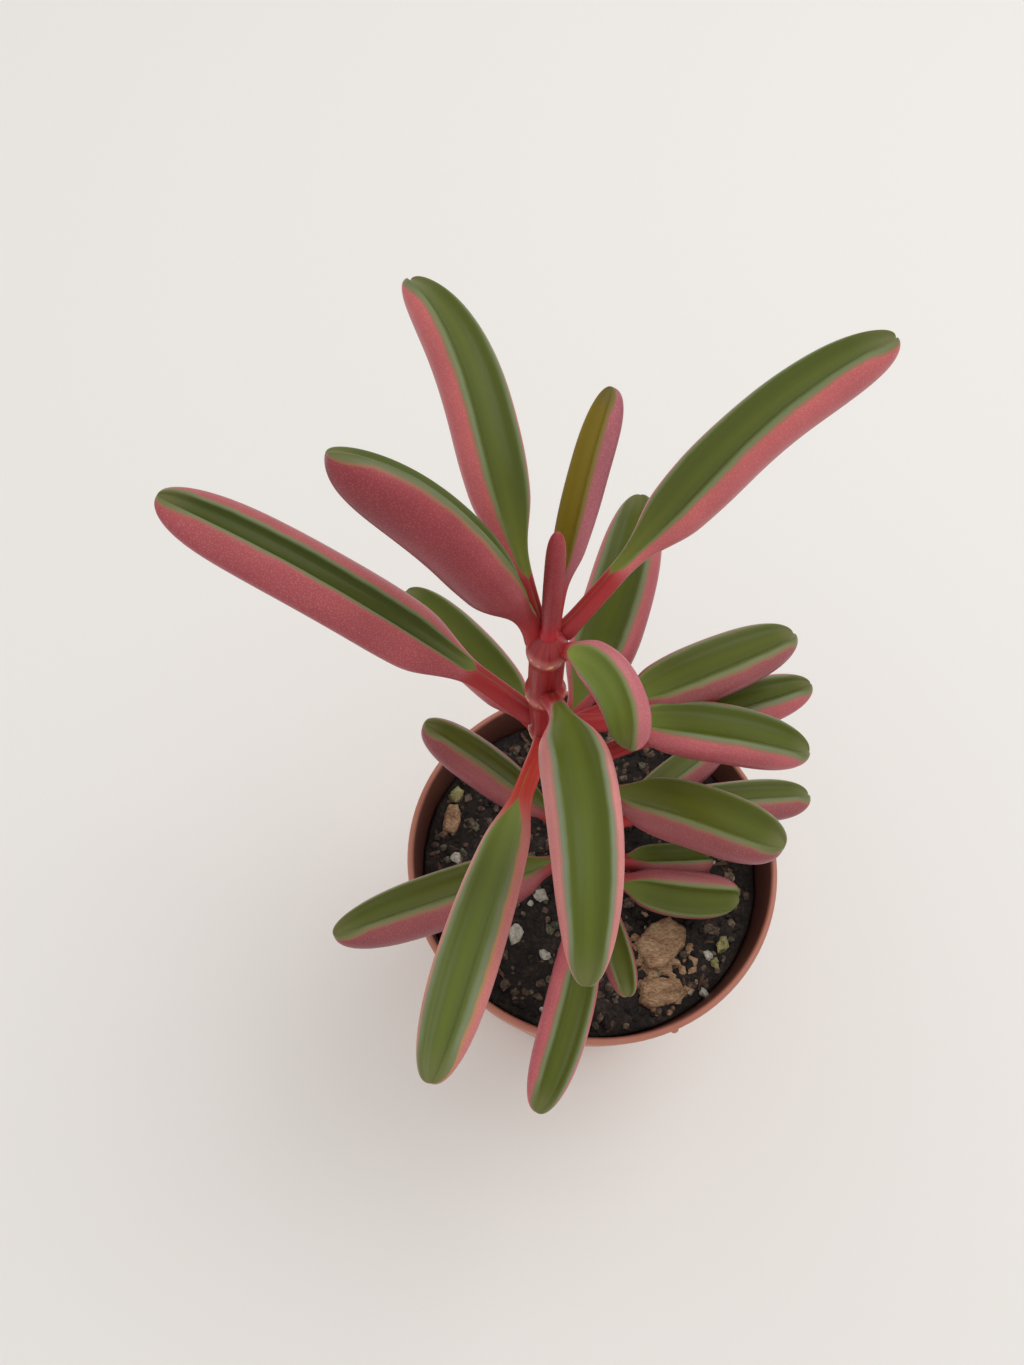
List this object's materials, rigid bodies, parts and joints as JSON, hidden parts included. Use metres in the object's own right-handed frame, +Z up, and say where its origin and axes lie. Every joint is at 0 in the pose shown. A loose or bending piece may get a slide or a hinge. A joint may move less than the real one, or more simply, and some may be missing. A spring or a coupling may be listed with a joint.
{
  "type": "potted ruby glow peperomia",
  "caption": "Small succulent with thick keeled leaves, green in the groove and ruby below, on one red stem in a tapered terracotta-coloured nursery pot of dark soil.",
  "frame": {"origin": "middle of the pot's underside", "axes": "+Z up along the pot's axis, -Y towards the side that the picture shows, +X to its right"},
  "size_m": [0.0867, 0.0835, 0.1294],
  "materials": {
    "pot": "satin moulded terracotta-coloured plastic",
    "soil": "moist dark peat with pale grains",
    "bark": "dry fibrous bark",
    "stem": "smooth glossy red skin",
    "leaf": "waxy green window with a speckled ruby underside"
  },
  "bodies": {
    "root": {"pot": "pot", "soil": "soil", "bark_chip_front": "bark", "bark_chip_right": "bark", "bark_chip_left": "bark", "stem": "stem", "leaf_top_left": "leaf", "leaf_top_back": "leaf", "leaf_top_young": "leaf", "leaf_top_bud": "leaf", "leaf_top_right": "leaf", "leaf_top_nodding": "leaf", "leaf_upper_front": "leaf", "leaf_middle_left": "leaf", "leaf_middle_front": "leaf", "leaf_middle_far_left": "leaf", "leaf_middle_back": "leaf", "leaf_middle_back_right": "leaf", "leaf_middle_right": "leaf", "leaf_lower_back_right": "leaf", "leaf_lower_right": "leaf", "leaf_low_right": "leaf", "leaf_low_back_right": "leaf", "leaf_low_left": "leaf", "leaf_foot_right": "leaf", "leaf_foot_front": "leaf", "leaf_foot_front_left": "leaf", "leaf_foot_left": "leaf", "leaf_foot_back_right": "leaf"}
  },
  "joints": []
}
